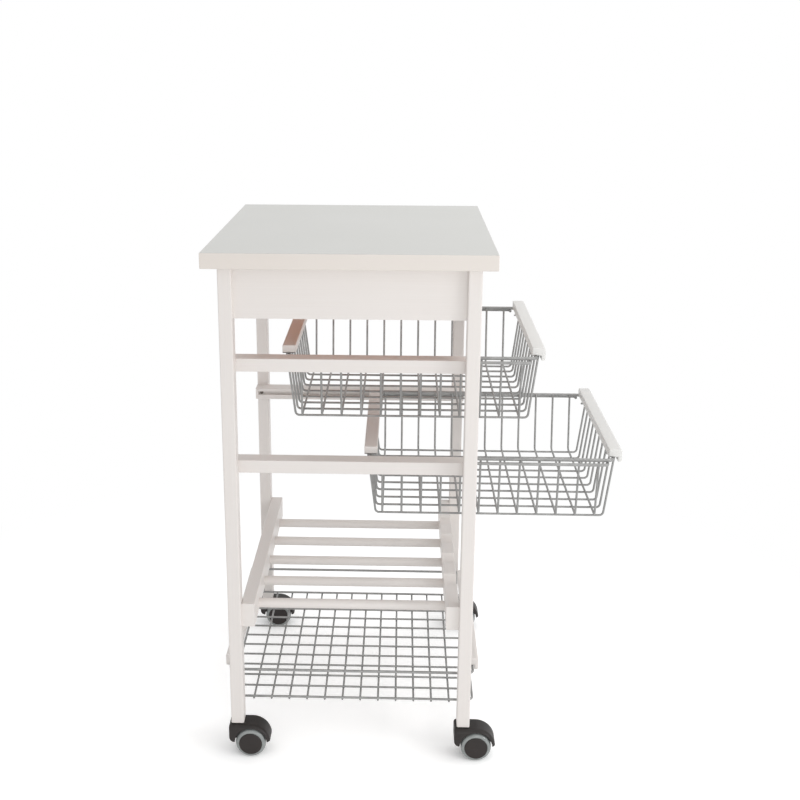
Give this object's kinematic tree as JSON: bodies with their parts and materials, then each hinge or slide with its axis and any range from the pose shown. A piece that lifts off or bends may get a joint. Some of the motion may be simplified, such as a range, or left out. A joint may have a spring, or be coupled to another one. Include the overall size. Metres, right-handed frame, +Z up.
{
  "type": "kitchen cart",
  "caption": "White wheeled kitchen cart with a thick worktop, pull-out wire baskets in grooved runners, a notched bottle rack and a low wire tray.",
  "frame": {"origin": "on the floor, under the middle of the worktop", "axes": "+X to the front, the way the baskets pull out; +Y to the cart's left side; +Z up"},
  "size_m": [0.6485, 0.506, 0.85],
  "materials": {
    "worktop_laminate": "white melamine laminate with a faint sheen, edges banded",
    "white_lacquer": "white satin lacquer on wood",
    "grey_wire": "silver-grey epoxy coat on welded steel wire",
    "dark_steel": "dark zinc plated steel",
    "bright_steel": "zinc plated steel",
    "castor_plastic": "moulded brown-black nylon with a satin skin",
    "hub_plastic": "moulded brown-black nylon",
    "tread_rubber": "grey soft tread"
  },
  "bodies": {
    "root": {"worktop": "worktop_laminate", "leg_rear_right": "white_lacquer", "leg_rear_left": "white_lacquer", "leg_front_right": "white_lacquer", "leg_front_left": "white_lacquer", "apron_right": "white_lacquer", "upper_runner_right": "white_lacquer", "lower_runner_right": "white_lacquer", "apron_left": "white_lacquer", "upper_runner_left": "white_lacquer", "lower_runner_left": "white_lacquer", "apron_rear": "white_lacquer", "rack_rail_rear": "white_lacquer", "apron_front": "white_lacquer", "rack_rail_front": "white_lacquer", "rack_dowels": "white_lacquer", "tray_front_bar": "white_lacquer", "tray_rear_bar": "white_lacquer", "tray_rim": "grey_wire", "tray_grid": "grey_wire", "tray_pegs": "dark_steel", "frame_screws": "dark_steel", "castor_rear_right_stem": "bright_steel", "castor_rear_left_stem": "bright_steel", "castor_front_right_stem": "bright_steel", "castor_front_left_stem": "bright_steel"},
    "upper_basket": {"upper_basket_handle": "white_lacquer", "upper_basket_rear_bar": "white_lacquer", "upper_basket_rim": "grey_wire", "upper_basket_grid": "grey_wire", "upper_basket_screws": "dark_steel"},
    "lower_basket": {"lower_basket_handle": "white_lacquer", "lower_basket_rear_bar": "white_lacquer", "lower_basket_rim": "grey_wire", "lower_basket_grid": "grey_wire", "lower_basket_screws": "dark_steel"},
    "castor_rear_right": {"castor_rear_right_hood": "castor_plastic", "castor_rear_right_axle": "bright_steel"},
    "castor_rear_right_outer_wheel": {"castor_rear_right_outer_hub": "hub_plastic", "castor_rear_right_outer_tread": "tread_rubber"},
    "castor_rear_right_inner_wheel": {"castor_rear_right_inner_hub": "hub_plastic", "castor_rear_right_inner_tread": "tread_rubber"},
    "castor_rear_left": {"castor_rear_left_hood": "castor_plastic", "castor_rear_left_axle": "bright_steel"},
    "castor_rear_left_outer_wheel": {"castor_rear_left_outer_hub": "hub_plastic", "castor_rear_left_outer_tread": "tread_rubber"},
    "castor_rear_left_inner_wheel": {"castor_rear_left_inner_hub": "hub_plastic", "castor_rear_left_inner_tread": "tread_rubber"},
    "castor_front_right": {"castor_front_right_hood": "castor_plastic", "castor_front_right_axle": "bright_steel"},
    "castor_front_right_outer_wheel": {"castor_front_right_outer_hub": "hub_plastic", "castor_front_right_outer_tread": "tread_rubber"},
    "castor_front_right_inner_wheel": {"castor_front_right_inner_hub": "hub_plastic", "castor_front_right_inner_tread": "tread_rubber"},
    "castor_front_left": {"castor_front_left_hood": "castor_plastic", "castor_front_left_axle": "bright_steel"},
    "castor_front_left_outer_wheel": {"castor_front_left_outer_hub": "hub_plastic", "castor_front_left_outer_tread": "tread_rubber"},
    "castor_front_left_inner_wheel": {"castor_front_left_inner_hub": "hub_plastic", "castor_front_left_inner_tread": "tread_rubber"}
  },
  "joints": [
    {"name": "upper_basket_slide", "type": "slide", "parent": "root", "child": "upper_basket", "axis": [1, 0, 0], "range_m": [-0.097, 0.165]},
    {"name": "lower_basket_slide", "type": "slide", "parent": "root", "child": "lower_basket", "axis": [1, 0, 0], "range_m": [-0.2255, 0.0365]},
    {"name": "castor_rear_right_swivel", "type": "hinge", "parent": "root", "child": "castor_rear_right", "pos_m": [-0.186, -0.217, 0.045], "axis": [0, 0, 1], "continuous": true},
    {"name": "castor_rear_right_outer_spin", "type": "hinge", "parent": "castor_rear_right", "child": "castor_rear_right_outer_wheel", "pos_m": [-0.1645, -0.217, 0.025], "axis": [0, 1, 0], "continuous": true},
    {"name": "castor_rear_right_inner_spin", "type": "hinge", "parent": "castor_rear_right", "child": "castor_rear_right_inner_wheel", "pos_m": [-0.1645, -0.217, 0.025], "axis": [0, 1, 0], "continuous": true},
    {"name": "castor_rear_left_swivel", "type": "hinge", "parent": "root", "child": "castor_rear_left", "pos_m": [-0.186, 0.217, 0.045], "axis": [0, 0, 1], "continuous": true},
    {"name": "castor_rear_left_outer_spin", "type": "hinge", "parent": "castor_rear_left", "child": "castor_rear_left_outer_wheel", "pos_m": [-0.1645, 0.217, 0.025], "axis": [0, 1, 0], "continuous": true},
    {"name": "castor_rear_left_inner_spin", "type": "hinge", "parent": "castor_rear_left", "child": "castor_rear_left_inner_wheel", "pos_m": [-0.1645, 0.217, 0.025], "axis": [0, 1, 0], "continuous": true},
    {"name": "castor_front_right_swivel", "type": "hinge", "parent": "root", "child": "castor_front_right", "pos_m": [0.186, -0.217, 0.045], "axis": [0, 0, 1], "continuous": true},
    {"name": "castor_front_right_outer_spin", "type": "hinge", "parent": "castor_front_right", "child": "castor_front_right_outer_wheel", "pos_m": [0.2075, -0.217, 0.025], "axis": [0, 1, 0], "continuous": true},
    {"name": "castor_front_right_inner_spin", "type": "hinge", "parent": "castor_front_right", "child": "castor_front_right_inner_wheel", "pos_m": [0.2075, -0.217, 0.025], "axis": [0, 1, 0], "continuous": true},
    {"name": "castor_front_left_swivel", "type": "hinge", "parent": "root", "child": "castor_front_left", "pos_m": [0.186, 0.217, 0.045], "axis": [0, 0, 1], "continuous": true},
    {"name": "castor_front_left_outer_spin", "type": "hinge", "parent": "castor_front_left", "child": "castor_front_left_outer_wheel", "pos_m": [0.2075, 0.217, 0.025], "axis": [0, 1, 0], "continuous": true},
    {"name": "castor_front_left_inner_spin", "type": "hinge", "parent": "castor_front_left", "child": "castor_front_left_inner_wheel", "pos_m": [0.2075, 0.217, 0.025], "axis": [0, 1, 0], "continuous": true}
  ]
}
